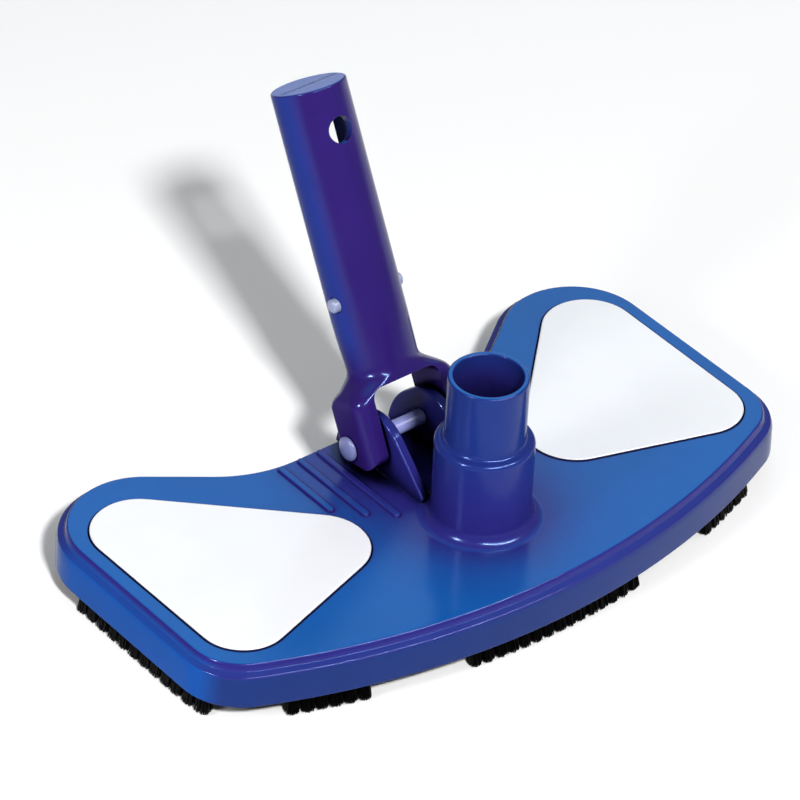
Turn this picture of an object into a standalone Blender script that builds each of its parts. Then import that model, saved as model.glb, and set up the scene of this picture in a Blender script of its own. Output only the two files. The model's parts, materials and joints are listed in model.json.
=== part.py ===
"""Manual pool vacuum head: a weighted butterfly base with a pivoting pole handle.

Sizes below are in millimetres in a design frame: the origin is on the hose connector's axis,
level with the tops of the two white covers. +X is to the right, +Y is to the back and +Z is up.
The parent empties carry the design frame to the part's own frame, in metres, whose origin is
at the bottom centre of the whole object.
"""

import math

import bmesh
import bpy
from mathutils import Matrix, Vector

MM = 0.001

# Design frame's origin in the part's frame.
ORIGIN_Y = -38.14
ORIGIN_Z = 26.2

# Deck outline: a straight back waist, two wings and a front edge on one large arc.
HALF_WIDTH = 138.6
FRONT_APEX = -47.0
FRONT_RADIUS = 310.0
FRONT_CORNER_RADIUS = 22.0
WING_CORNER_RADIUS = 29.5
WING_CORNER_Y = 70.6
WAIST_Y = 68.0
WAIST_RADIUS = 55.0
WING_EDGE_NORMAL = 126.0

# Heights.
COVER_TOP = 0.0
DECK_TOP = -0.8
DECK_UNDERSIDE = -4.3
SKIRT_BOTTOM = -18.3
BRISTLE_TIPS = -26.2

# Skirt: how far each line stands outside the deck outline, and its height.
SKIRT_OUTER = [(-0.8, DECK_TOP), (0.2, -0.95), (0.9, -1.4), (1.3, -2.2), (1.5, -3.5),
               (2.9, -3.8), (3.8, -4.2), (4.4, -5.0), (4.6, -6.2), (5.0, -17.8), (4.7, SKIRT_BOTTOM)]
SKIRT_INNER = [(3.5, SKIRT_BOTTOM), (3.2, -17.8), (3.0, -7.0), (1.4, DECK_UNDERSIDE)]

# Covers and the weights beneath them: one rounded triangle each side.
COVER_CORNERS = [(25.6, 10.6, 19.9), (132.2, -22.7, 18.2), (133.2, 114.4, 19.6)]
COVER_GAP = 0.35
COVER_THICKNESS = 2.6
LEDGE_Z = -2.95
WELL_INSET = 3.2
WELL_WALL = 2.0
WELL_FLOOR = -12.4
WELL_BOTTOM = -14.6
WEIGHT_TOP = -5.2
PIECE_GAP = 0.3

# Hose connector: an upper sleeve for a narrow hose and a lower one for a wide hose.
SLEEVE_RADIUS = 15.8
SLEEVE_BORE = 13.5
SOCKET_TOP = 65.7
SHOULDER_Z = 36.8
LOWER_RADIUS = 19.6
LOWER_BORE = 16.6
BASE_FILLET = 5.5

# Pivot and lugs.
PIVOT_Y = 51.2
PIVOT_Z = 10.0
TILT = 27.0
LUG_INNER = 11.0
LUG_OUTER = 15.2
LUG_CORNERS = [(17.0, -3.0, 1.0), (71.8, -3.0, 1.0), (69.0, 10.0, 28.0), (46.5, 29.7, 16.4), (17.0, 1.6, 1.0)]
AXLE_RADIUS = 3.2
AXLE_HEAD_RADIUS = 5.0
AXLE_HEAD_HEIGHT = 1.9
LUG_HOLE_RADIUS = 3.32
ARM_HOLE_RADIUS = 3.3

# Handle, along its own axis from the pivot.
TUBE_RADIUS = 15.1
TUBE_BORE = 11.8
TUBE_TOP = 140.9
TUBE_CAP = 3.5
FORK_HALF_WIDTH = 24.6
FORK_FRONT = 13.4
FORK_BACK = 6.9
FORK_FRONT_CORNER = 6.0
FORK_BACK_CORNER = 2.6
SHOULDER_HIGH = 29.5
SHOULDER_LOW = 15.2
TAPER_HIGH = 52.0
ARM_INNER = 16.3
ARCH_TOP = 21.7
ARCH_CORNER = 4.5
ARM_SIDE_CORNERS = [(-13.5, -10.9, 5.5), (7.0, -4.2, 4.0), (7.0, 20.0, 1.0), (-13.5, 20.0, 1.0)]
HANG_HOLE_Z = 123.0
HANG_HOLE_RADIUS = 5.3
BACK_WINDOW = [(-20.0, 20.0, 1.0), (-10.4, 5.6, 0.6), (10.4, 5.6, 0.6), (20.0, 20.0, 1.0)]
BACK_WINDOW_LOW = 106.0
BACK_WINDOW_HIGH = 126.0

# Spring clip and its two buttons.
BUTTON_Z = 55.8
BUTTON_FRONT = 1.5
BUTTON_RADIUS = 2.9
BUTTON_HOLE_RADIUS = 3.25
BUTTON_TIP = 17.6
CLIP_OUTER = 10.6
CLIP_THICKNESS = 1.4
CLIP_WIDTH = 7.0
CLIP_LOW = 44.0
CLIP_HIGH = 84.0

# Ribs on the deck: each one's distance from the centre line and its front end.
DECK_RIBS = [(27.0, 18.0), (36.5, 25.5), (46.0, 35.5)]
DECK_RIB_BACK = 66.0
DECK_RIB_RADIUS = 1.7
DECK_RIB_HEIGHT = 1.1

# Brush strips, measured outwards from the deck outline.
STRIP_INNER = -2.8
STRIP_OUTER = 2.6
BRISTLE_INNER = -2.2
BRISTLE_OUTER = 2.4
TIP_INNER = -0.4
TIP_OUTER = 4.4
RAIL_INNER = -5.2
RAIL_OUTER = 3.15
RAIL_BOTTOM = -14.4
RAIL_OVERHANG = 1.5
HOLDER_TOP = -9.6
HOLDER_BOTTOM = -14.2
TUFT_GAP_Z = -21.5
SIDE_TUFT_PITCH = 6.8
FRONT_TUFT_PITCH = 5.2
SIDE_STRIP = (-10.5, 70.0)
FRONT_CENTRE_REACH = 42.0
FRONT_SIDE_REACH = (82.0, 115.0)
SIDE_BEND_STEPS = 4

ROUND = 48
SMOOTH_ANGLE = math.radians(35)


def clear_scene():
    """Remove every object that the file opened with."""
    for item in list(bpy.data.objects):
        bpy.data.objects.remove(item, do_unlink=True)


def plastic(name, colour, roughness, metallic=0.0):
    """Return a Principled material of one colour."""
    material = bpy.data.materials.new(name)
    material.use_nodes = True
    shader = material.node_tree.nodes["Principled BSDF"]
    shader.inputs["Base Color"].default_value = (*colour, 1.0)
    shader.inputs["Roughness"].default_value = roughness
    shader.inputs["Metallic"].default_value = metallic
    return material


# --- outlines ---------------------------------------------------------------------------------
# An outline is a list of arcs (centre x, centre y, radius, first angle, last angle, steps), and
# straight runs are what joins them. A hollow arc has a negative radius, so that an outline moves
# out everywhere when one offset is added to all of its radii.

def outline_points(arcs, offset=0.0):
    """Return the outline's points, moved outwards by offset."""
    points = []
    for centre_x, centre_y, radius, first, last, steps in arcs:
        for step in range(steps + 1):
            angle = math.radians(first + (last - first) * step / steps)
            reach = radius + offset
            points.append((centre_x + reach * math.cos(angle), centre_y + reach * math.sin(angle)))
    return points


def deck_half():
    """Return the arcs of the deck's right half, anticlockwise from the front's middle."""
    front_centre = FRONT_APEX + FRONT_RADIUS
    corner_x = HALF_WIDTH - FRONT_CORNER_RADIUS
    corner_y = front_centre - math.sqrt((FRONT_RADIUS - FRONT_CORNER_RADIUS) ** 2 - corner_x ** 2)
    meet = math.degrees(math.atan2(corner_y - front_centre, corner_x))
    wing_x = HALF_WIDTH - WING_CORNER_RADIUS
    normal = Vector((math.cos(math.radians(WING_EDGE_NORMAL)), math.sin(math.radians(WING_EDGE_NORMAL))))
    leave = Vector((wing_x, WING_CORNER_Y)) + normal * WING_CORNER_RADIUS
    hollow_y = WAIST_Y + WAIST_RADIUS
    hollow_x = leave.x + (WAIST_RADIUS - (hollow_y - leave.y) * normal.y) / normal.x
    return [
        (0.0, front_centre, FRONT_RADIUS, -90.0, meet, 14),
        (corner_x, corner_y, FRONT_CORNER_RADIUS, meet, 0.0, 8),
        (wing_x, WING_CORNER_Y, WING_CORNER_RADIUS, 0.0, WING_EDGE_NORMAL, 14),
        (hollow_x, hollow_y, -WAIST_RADIUS, WING_EDGE_NORMAL, 90.0, 6),
    ]


def deck_arcs():
    """Return the whole deck outline, anticlockwise."""
    right = deck_half()
    left = [(-x, y, radius, 180.0 - last, 180.0 - first, steps)
            for x, y, radius, first, last, steps in reversed(right)]
    return right + left


def rounded_polygon(corners, steps=8):
    """Return arcs that round an anticlockwise convex polygon's corners (x, y, radius)."""
    arcs = []
    count = len(corners)
    for index, (x, y, radius) in enumerate(corners):
        here = Vector((x, y))
        before = (here - Vector(corners[index - 1][:2])).normalized()
        after = (Vector(corners[(index + 1) % count][:2]) - here).normalized()
        turn = before.angle(after)
        middle = (after - before).normalized()
        centre = here + middle * radius / math.cos(turn / 2)
        first = math.degrees(math.atan2(-before.x, before.y))
        arcs.append((centre.x, centre.y, radius, first, first + math.degrees(turn), steps))
    return arcs


def mirrored(corners):
    """Return the corners on the other side of the centre line, still anticlockwise."""
    return [(-x, y, radius) for x, y, radius in reversed(corners)]


# --- solids -----------------------------------------------------------------------------------

def skin(mesh, rings):
    """Join rings of points side by side and close both ends, as one closed skin."""
    made = [[mesh.verts.new(point) for point in ring] for ring in rings]
    for low, high in zip(made, made[1:]):
        for index in range(len(low)):
            other = (index + 1) % len(low)
            mesh.faces.new((low[index], low[other], high[other], high[index]))
    mesh.faces.new(reversed(made[0]))
    mesh.faces.new(made[-1])


def lay_flat(x, y, height):
    """Place an outline point of a piece that is built up along Z."""
    return Vector((x, y, height))


def stand_sideways(y, z, across):
    """Place an outline point of a piece that is built across X."""
    return Vector((across, y, z))


def stand_facing(x, z, depth):
    """Place an outline point of a piece that is built along Y."""
    return Vector((x, depth, z))


def stacked(arcs, profile, place=lay_flat):
    """Return a mesh of one outline, lofted through (offset, height) pairs."""
    mesh = bmesh.new()
    skin(mesh, [[place(x, y, height) for x, y in outline_points(arcs, offset)] for offset, height in profile])
    return mesh


def turned(profile, matrix=None, segments=ROUND):
    """Return a mesh of (radius, height) pairs turned about Z, both ends closed by a flat disc."""
    mesh = bmesh.new()
    rings = []
    for radius, height in profile:
        angles = [2 * math.pi * step / segments for step in range(segments)]
        rings.append([Vector((radius * math.cos(a), radius * math.sin(a), height)) for a in angles])
    skin(mesh, rings)
    if matrix:
        mesh.transform(matrix)
    return mesh


def fillet(radius_in, radius_out, low, high, steps=6):
    """Return (radius, height) pairs of a hollow quarter turn from a flange up to a column."""
    pairs = []
    for step in range(steps + 1):
        angle = 0.5 * math.pi * step / steps
        radius = radius_out - (radius_out - radius_in) * math.sin(angle)
        pairs.append((radius, high - (high - low) * math.cos(angle)))
    return pairs


def block(low, high):
    """Return a box mesh between two corners."""
    mesh = bmesh.new()
    (x0, y0, z0), (x1, y1, z1) = low, high
    skin(mesh, [[Vector(p) for p in ((x0, y0, z), (x1, y0, z), (x1, y1, z), (x0, y1, z))] for z in (z0, z1)])
    return mesh


def finish(name, mesh, material, parent, guide=False):
    """Turn a millimetre mesh into a named object in metres, under its parent empty."""
    bmesh.ops.remove_doubles(mesh, verts=mesh.verts, dist=0.0005)
    bmesh.ops.recalc_face_normals(mesh, faces=mesh.faces)
    mesh.transform(Matrix.Scale(MM, 4))
    data = bpy.data.meshes.new(name)
    mesh.to_mesh(data)
    mesh.free()
    data.shade_smooth()
    data.set_sharp_from_angle(angle=SMOOTH_ANGLE)
    data.materials.append(material)
    item = bpy.data.objects.new(name, data)
    bpy.context.scene.collection.objects.link(item)
    item.parent = parent
    if guide:
        item.hide_render = True
        item.display_type = "WIRE"
    return item


def shape_with(target, operation, name, mesh, material, parent):
    """Add to target, or cut from it, the solid that mesh describes."""
    tool = finish(name, mesh, material, parent, guide=True)
    modifier = target.modifiers.new(name, "BOOLEAN")
    modifier.operation = operation
    modifier.solver = "EXACT"
    modifier.object = tool


def empty(name, location, parent=None, tilt=0.0):
    """Return an empty at a location in millimetres, turned back about X by tilt degrees."""
    item = bpy.data.objects.new(name, None)
    item.location = Vector(location) * MM
    item.rotation_euler = (math.radians(-tilt), 0.0, 0.0)
    bpy.context.scene.collection.objects.link(item)
    item.parent = parent
    return item


def across_x(x0, centre_y=0.0, centre_z=0.0):
    """Return the matrix that turns +Z to +X and moves a turned piece's start to x0."""
    return Matrix.Translation((x0, centre_y, centre_z)) @ Matrix.Rotation(math.radians(90), 4, "Y")


def along_y(centre_z):
    """Return the matrix that turns +Z to -Y at a height."""
    return Matrix.Translation((0.0, 0.0, centre_z)) @ Matrix.Rotation(math.radians(90), 4, "X")


# --- brush strips -----------------------------------------------------------------------------

def strip_path(name, extra=0.0):
    """Return (point, outward normal, distance) along a strip, extra longer at both ends."""
    path = []
    if name.startswith("side"):
        sign = -1 if name.endswith("left") else 1
        corner_x, corner_y, radius = deck_half()[1][:3]
        low, high = SIDE_STRIP[0] - extra, SIDE_STRIP[1] + extra
        first = math.asin((low - corner_y) / radius)
        for step in range(SIDE_BEND_STEPS + 1):
            turn = first * (1 - step / SIDE_BEND_STEPS)
            normal = Vector((sign * math.cos(turn), math.sin(turn)))
            corner = Vector((sign * corner_x, corner_y))
            path.append((corner + normal * radius, normal, (turn - first) * radius))
        path.append((Vector((sign * HALF_WIDTH, high)), Vector((sign, 0.0)), path[-1][2] + high - corner_y))
        return path
    reach = {"front_left": (-FRONT_SIDE_REACH[1], -FRONT_SIDE_REACH[0]), "front_right": FRONT_SIDE_REACH,
             "front_centre": (-FRONT_CENTRE_REACH, FRONT_CENTRE_REACH)}[name]
    first, last = (math.asin(x / FRONT_RADIUS) for x in reach)
    spare = extra / FRONT_RADIUS
    first, last = first - spare, last + spare
    steps = max(3, round((last - first) * FRONT_RADIUS / 8))
    centre = Vector((0.0, FRONT_APEX + FRONT_RADIUS))
    for step in range(steps + 1):
        turn = first + (last - first) * step / steps
        normal = Vector((math.sin(turn), -math.cos(turn)))
        path.append((centre + normal * FRONT_RADIUS, normal, (turn - first) * FRONT_RADIUS))
    return path


def point_on(path, distance):
    """Return the point and normal at a distance along a strip's path."""
    for (start, normal_a, at_a), (end, normal_b, at_b) in zip(path, path[1:]):
        if distance <= at_b + 1e-6:
            part = (distance - at_a) / (at_b - at_a)
            return start.lerp(end, part), normal_a.lerp(normal_b, part).normalized()
    return path[-1][0], path[-1][1]


def bar(stations):
    """Return a mesh through stations: a point, its normal, and two (inner, outer, height) edges."""
    mesh = bmesh.new()
    rings = []
    for point, normal, low, high in stations:
        corners = ((low[0], low[2]), (low[1], low[2]), (high[1], high[2]), (high[0], high[2]))
        rings.append([Vector((*(point + normal * out), height)) for out, height in corners])
    skin(mesh, rings)
    return mesh


def plain_bar(name, extra, inner, outer, low, high):
    """Return a bar of one section along the strip called name."""
    edges = ((inner, outer, low), (inner, outer, high))
    return bar([(point, normal, *edges) for point, normal, _ in strip_path(name, extra)])


def bristle_bar(name):
    """Return a strip's bristles: one band on top, leaning out and parted into tufts below."""
    path = strip_path(name, -PIECE_GAP)
    length = path[-1][2]
    wanted = SIDE_TUFT_PITCH if name.startswith("side") else FRONT_TUFT_PITCH
    tufts = round(length / wanted)
    pitch = length / tufts
    top = (BRISTLE_INNER, BRISTLE_OUTER, HOLDER_BOTTOM - PIECE_GAP)
    tip = (TIP_INNER, TIP_OUTER, BRISTLE_TIPS)
    part = (TUFT_GAP_Z - top[2]) / (tip[2] - top[2])
    gap = tuple(a + (b - a) * part for a, b in zip(top, tip))
    stations = []
    for tuft in range(tufts):
        for step, edge in ((0.0, gap), (0.15, tip), (0.85, tip)):
            stations.append((*point_on(path, (tuft + step) * pitch), edge, top))
    stations.append((*point_on(path, length), gap, top))
    return bar(stations)


STRIPS = ("side_left", "front_left", "front_centre", "front_right", "side_right")


def make_brushes(base, blue, black, root):
    """Add the five brush strips, and the rails under the deck that hold them."""
    for name in STRIPS:
        rail = plain_bar(name, RAIL_OVERHANG, RAIL_INNER, RAIL_OUTER, RAIL_BOTTOM, DECK_UNDERSIDE + 0.15)
        shape_with(base, "UNION", "rail_" + name, rail, blue, root)
        slot = plain_bar(name, PIECE_GAP, STRIP_INNER - PIECE_GAP, STRIP_OUTER + PIECE_GAP,
                         RAIL_BOTTOM - 1.0, HOLDER_TOP + PIECE_GAP)
        shape_with(base, "DIFFERENCE", "rail_slot_" + name, slot, blue, root)
        holder = plain_bar(name, 0.0, STRIP_INNER, STRIP_OUTER, HOLDER_BOTTOM, HOLDER_TOP)
        finish("brush_holder_" + name, holder, black, root)
        finish("bristles_" + name, bristle_bar(name), black, root)


# --- base -------------------------------------------------------------------------------------

def connector_outside():
    """Return the hose connector's outer solid: rim, sleeve, shoulder, lower sleeve and fillet."""
    profile = fillet(LOWER_RADIUS, LOWER_RADIUS + BASE_FILLET, DECK_TOP - 0.1, DECK_TOP + BASE_FILLET)
    profile.insert(0, (LOWER_RADIUS + BASE_FILLET, DECK_UNDERSIDE + 1.0))
    profile += [(LOWER_RADIUS - 0.2, SHOULDER_Z - 3.0), (LOWER_RADIUS - 0.7, SHOULDER_Z - 1.6),
                (LOWER_RADIUS - 1.8, SHOULDER_Z - 0.6), (SLEEVE_RADIUS + 0.9, SHOULDER_Z + 0.1),
                (SLEEVE_RADIUS + 0.1, SHOULDER_Z + 1.1), (SLEEVE_RADIUS, SHOULDER_Z + 2.5),
                (SLEEVE_RADIUS, SOCKET_TOP - 1.2), (SLEEVE_RADIUS - 0.35, SOCKET_TOP - 0.35),
                (SLEEVE_RADIUS - 1.0, SOCKET_TOP)]
    return turned(profile, segments=64)


def connector_bore():
    """Return the cutter for the connector's bore, from below the deck to above the rim."""
    return turned([(LOWER_BORE + 4.0, DECK_UNDERSIDE - 1.0), (LOWER_BORE + 4.0, DECK_UNDERSIDE),
                   (LOWER_BORE, 2.0), (LOWER_BORE, SHOULDER_Z - 9.0), (SLEEVE_BORE, SHOULDER_Z - 3.0),
                   (SLEEVE_BORE, SOCKET_TOP - 0.7), (SLEEVE_BORE + 0.5, SOCKET_TOP + 0.2),
                   (SLEEVE_BORE + 0.5, SOCKET_TOP + 2.0)], segments=64)


def make_base(blue, root):
    """Make the one-piece base moulding: deck, skirt, wells, connector, lugs and ribs."""
    base = finish("base_shell", stacked(deck_arcs(), SKIRT_OUTER + SKIRT_INNER), blue, root)
    for side, corners in (("left", mirrored(COVER_CORNERS)), ("right", COVER_CORNERS)):
        arcs = rounded_polygon(corners)
        boss_offset = WELL_WALL - WELL_INSET
        boss = stacked(arcs, [(boss_offset, WELL_BOTTOM), (boss_offset, DECK_UNDERSIDE + 1.0)])
        shape_with(base, "UNION", "well_boss_" + side, boss, blue, root)
        well = stacked(arcs, [(-WELL_INSET, WELL_FLOOR), (-WELL_INSET, LEDGE_Z), (COVER_GAP, LEDGE_Z),
                              (COVER_GAP, COVER_TOP + 1.0)])
        shape_with(base, "DIFFERENCE", "well_" + side, well, blue, root)
    shape_with(base, "UNION", "connector_outside", connector_outside(), blue, root)
    edge = 0.9
    for side, sign in (("left", -1), ("right", 1)):
        profile = [(-edge, sign * LUG_INNER), (-0.3 * edge, sign * (LUG_INNER + 0.3 * edge)),
                   (0.0, sign * (LUG_INNER + edge)), (0.0, sign * (LUG_OUTER - edge)),
                   (-0.3 * edge, sign * (LUG_OUTER - 0.3 * edge)), (-edge, sign * LUG_OUTER)]
        lug = stacked(rounded_polygon(LUG_CORNERS), profile, stand_sideways)
        shape_with(base, "UNION", "lug_" + side, lug, blue, root)
        for number, (x, front) in enumerate(DECK_RIBS, 1):
            top = DECK_TOP + DECK_RIB_HEIGHT
            ends = [(sign * x, front, DECK_RIB_RADIUS, 180.0, 360.0, 8),
                    (sign * x, DECK_RIB_BACK, DECK_RIB_RADIUS, 0.0, 180.0, 8)]
            rib = stacked(ends, [(0.1, DECK_TOP - 1.0), (0.0, top - 0.5), (-0.2, top - 0.15), (-0.7, top)])
            shape_with(base, "UNION", f"rib_{side}_{number}", rib, blue, root)
    shape_with(base, "DIFFERENCE", "connector_bore", connector_bore(), blue, root)
    hole = turned([(LUG_HOLE_RADIUS, -20.0), (LUG_HOLE_RADIUS, 20.0)], across_x(0.0, PIVOT_Y, PIVOT_Z))
    shape_with(base, "DIFFERENCE", "lug_hole", hole, blue, root)
    return base


def make_weights(white, iron, root):
    """Make the two covers and the two weights in the wells."""
    for side, corners in (("left", mirrored(COVER_CORNERS)), ("right", COVER_CORNERS)):
        arcs = rounded_polygon(corners)
        flange = PIECE_GAP + WELL_INSET
        bottom = COVER_TOP - COVER_THICKNESS
        cover = stacked(arcs, [(-flange, bottom - 1.6), (-flange, bottom), (-0.3, bottom), (0.0, bottom + 0.3),
                               (0.0, COVER_TOP - 0.8), (-0.25, COVER_TOP - 0.25), (-0.9, COVER_TOP)])
        finish("weight_cover_" + side, cover, white, root)
        inset = WELL_INSET + PIECE_GAP
        low = WELL_FLOOR + PIECE_GAP
        weight = stacked(arcs, [(-inset - 0.8, low), (-inset, low + 0.8), (-inset, WEIGHT_TOP - 0.8),
                                (-inset - 0.8, WEIGHT_TOP)])
        finish("weight_" + side, weight, iron, root)


# --- handle -----------------------------------------------------------------------------------

def ease(part):
    """Return a smooth step from 0 to 1."""
    part = min(max(part, 0.0), 1.0)
    return part ** 3 * (part * (6 * part - 15) + 10)


def handle_section(height):
    """Return the ring of the handle's outside at a height above the pivot."""
    spread = ease((SHOULDER_HIGH - height) / (SHOULDER_HIGH - SHOULDER_LOW))
    taper = ease((TAPER_HIGH - height) / (TAPER_HIGH - SHOULDER_LOW))
    half_x = TUBE_RADIUS + (FORK_HALF_WIDTH - TUBE_RADIUS) * spread
    arcs = []
    for quarter, side_x in enumerate((1, -1, -1, 1)):
        at_back = quarter < 2
        depth = FORK_BACK if at_back else FORK_FRONT
        corner = FORK_BACK_CORNER if at_back else FORK_FRONT_CORNER
        reach = TUBE_RADIUS + (depth - TUBE_RADIUS) * taper
        radius = min(TUBE_RADIUS + (corner - TUBE_RADIUS) * spread, reach, half_x)
        centre_y = (reach - radius) if at_back else (radius - reach)
        arcs.append((side_x * (half_x - radius), centre_y, radius, 90.0 * quarter, 90.0 * quarter + 90.0, 10))
    return [Vector((x, y, height)) for x, y in outline_points(arcs)]


def handle_outside():
    """Return the handle's outer solid, from below the arms to the closed top of the tube."""
    steps = 9
    heights = [-14.0, SHOULDER_LOW - 2.0]
    heights += [SHOULDER_LOW + (SHOULDER_HIGH - SHOULDER_LOW) * step / steps for step in range(steps + 1)]
    heights += [SHOULDER_HIGH + (TAPER_HIGH - SHOULDER_HIGH) * step / 4 for step in (1, 2, 3, 4)]
    mesh = bmesh.new()
    rings = [handle_section(height) for height in heights + [TUBE_TOP - 0.8]]
    for inset, drop in ((0.25, 0.25), (0.8, 0.0)):
        scale = (TUBE_RADIUS - inset) / TUBE_RADIUS
        rings.append([Vector((p.x * scale, p.y * scale, TUBE_TOP - drop)) for p in handle_section(TUBE_TOP)])
    skin(mesh, rings)
    return mesh


def make_handle(blue, pivot):
    """Make the handle moulding: a closed tube that ends in a fork with two arms."""
    handle = finish("handle", handle_outside(), blue, pivot)
    side = stacked(rounded_polygon(ARM_SIDE_CORNERS), [(0.0, -40.0), (0.0, 40.0)], stand_sideways)
    shape_below = block((-40.0, -40.0, -60.0), (40.0, 40.0, 12.0))
    trim = finish("arm_trim", shape_below, blue, pivot, guide=True)
    keep = trim.modifiers.new("arm_side", "BOOLEAN")
    keep.operation = "DIFFERENCE"
    keep.object = finish("arm_side", side, blue, pivot, guide=True)
    cut = handle.modifiers.new("arm_trim", "BOOLEAN")
    cut.operation = "DIFFERENCE"
    cut.object = trim
    arch = rounded_polygon([(-ARM_INNER, -30.0, 1.0), (ARM_INNER, -30.0, 1.0),
                            (ARM_INNER, ARCH_TOP, ARCH_CORNER), (-ARM_INNER, ARCH_TOP, ARCH_CORNER)])
    opening = stacked(arch, [(0.0, -30.0), (0.0, 30.0)], stand_facing)
    shape_with(handle, "DIFFERENCE", "arch", opening, blue, pivot)
    bore = turned([(TUBE_BORE, ARCH_TOP - 8.0), (TUBE_BORE, TUBE_TOP - TUBE_CAP)])
    shape_with(handle, "DIFFERENCE", "tube_bore", bore, blue, pivot)
    hang = turned([(HANG_HOLE_RADIUS, 0.0), (HANG_HOLE_RADIUS, 20.0)], along_y(HANG_HOLE_Z))
    shape_with(handle, "DIFFERENCE", "hang_hole", hang, blue, pivot)
    window = stacked(rounded_polygon(BACK_WINDOW), [(0.0, BACK_WINDOW_LOW), (0.0, BACK_WINDOW_HIGH)])
    shape_with(handle, "DIFFERENCE", "back_window", window, blue, pivot)
    buttons = turned([(BUTTON_HOLE_RADIUS, -20.0), (BUTTON_HOLE_RADIUS, 20.0)],
                     across_x(0.0, -BUTTON_FRONT, BUTTON_Z), 32)
    shape_with(handle, "DIFFERENCE", "button_holes", buttons, blue, pivot)
    arms = turned([(ARM_HOLE_RADIUS, -40.0), (ARM_HOLE_RADIUS, 40.0)], across_x(0.0))
    shape_with(handle, "DIFFERENCE", "arm_holes", arms, blue, pivot)
    return handle


def dome(radius, height, steps=5):
    """Return (radius, height) pairs from a rim up to a low dome's small flat top."""
    pairs = []
    for step in range(steps + 1):
        angle = 0.5 * math.pi * step / (steps + 0.6)
        pairs.append((radius * math.cos(angle), height * math.sin(angle)))
    return pairs


def make_axle(white, pivot):
    """Make the headed axle pin and the cap that is pushed on its other end."""
    face = FORK_HALF_WIDTH + PIECE_GAP
    head = [(r, -face - 0.6 - h) for r, h in reversed(dome(AXLE_HEAD_RADIUS, AXLE_HEAD_HEIGHT))]
    pin = head + [(AXLE_HEAD_RADIUS, -face), (AXLE_RADIUS, -face), (AXLE_RADIUS, face + 0.2),
                  (AXLE_RADIUS - 0.6, face + 0.8)]
    finish("axle_pin", turned(pin, across_x(0.0)), white, pivot)
    cap = [(AXLE_HEAD_RADIUS, face)]
    cap += [(r, face + 0.6 + h) for r, h in dome(AXLE_HEAD_RADIUS, AXLE_HEAD_HEIGHT)]
    axle_cap = finish("axle_cap", turned(cap, across_x(0.0)), white, pivot)
    socket = turned([(AXLE_RADIUS + 0.1, face - 1.0), (AXLE_RADIUS + 0.1, face + 1.1)], across_x(0.0))
    shape_with(axle_cap, "DIFFERENCE", "cap_socket", socket, white, pivot)


def make_clip(white, pivot):
    """Make the bent spring clip inside the tube, and its two buttons."""
    middle = CLIP_OUTER - CLIP_THICKNESS / 2
    centres = [(middle, CLIP_LOW)]
    steps = 14
    for step in range(steps + 1):
        angle = math.pi * step / steps
        centres.append((middle * math.cos(angle), CLIP_HIGH + middle * math.sin(angle)))
    centres.append((-middle, CLIP_LOW))
    mesh = bmesh.new()
    rings = []
    half = CLIP_THICKNESS / 2
    for index, (x, z) in enumerate(centres):
        step = min(max(index - 1, 0), steps)
        angle = math.pi * step / steps
        across = Vector((math.cos(angle), 0.0, math.sin(angle)))
        point = Vector((x, -BUTTON_FRONT, z))
        wide = Vector((0.0, CLIP_WIDTH / 2, 0.0))
        rings.append([point - across * half - wide, point + across * half - wide,
                      point + across * half + wide, point - across * half + wide])
    skin(mesh, rings)
    finish("clip_spring", mesh, white, pivot)
    start = CLIP_OUTER + PIECE_GAP
    for side, sign in (("left", -1), ("right", 1)):
        seat = empty("button_seat_" + side, (0.0, -BUTTON_FRONT, BUTTON_Z), pivot)
        crown = [(r, BUTTON_TIP - 1.6 + h) for r, h in dome(BUTTON_RADIUS, 1.6)]
        button = turned([(BUTTON_RADIUS, start)] + crown, across_x(0.0), 32)
        if sign < 0:
            button.transform(Matrix.Scale(-1, 4, (1, 0, 0)))
        finish("button_" + side, button, white, seat)


def main():
    """Build the whole object."""
    clear_scene()
    blue = plastic("blue_plastic", (0.03, 0.12, 0.42), 0.3)
    white = plastic("white_plastic", (0.86, 0.87, 0.90), 0.3)
    black = plastic("black_bristle", (0.012, 0.012, 0.013), 0.6)
    iron = plastic("cast_iron", (0.10, 0.10, 0.10), 0.7, 0.8)
    root = empty("base_frame", (0.0, ORIGIN_Y, ORIGIN_Z))
    base = make_base(blue, root)
    make_brushes(base, blue, black, root)
    make_weights(white, iron, root)
    pivot = empty("handle_pivot", (0.0, PIVOT_Y, PIVOT_Z), root, TILT)
    make_handle(blue, pivot)
    make_axle(white, pivot)
    make_clip(white, pivot)


main()
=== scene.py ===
"""Looks for the manual pool vacuum head: detailed pieces, materials, light and camera.

Sizes are in millimetres in the design frame of the solids: the origin is on the hose connector's
axis, level with the tops of the covers, +X right, +Y back and +Z up. The handle has a frame of its
own, on the pivot, with +Z along the tube. Every finished mesh is in metres in the row frame.
"""

import json
import math
import random

import bmesh
import bpy
from mathutils import Matrix, Vector


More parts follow.
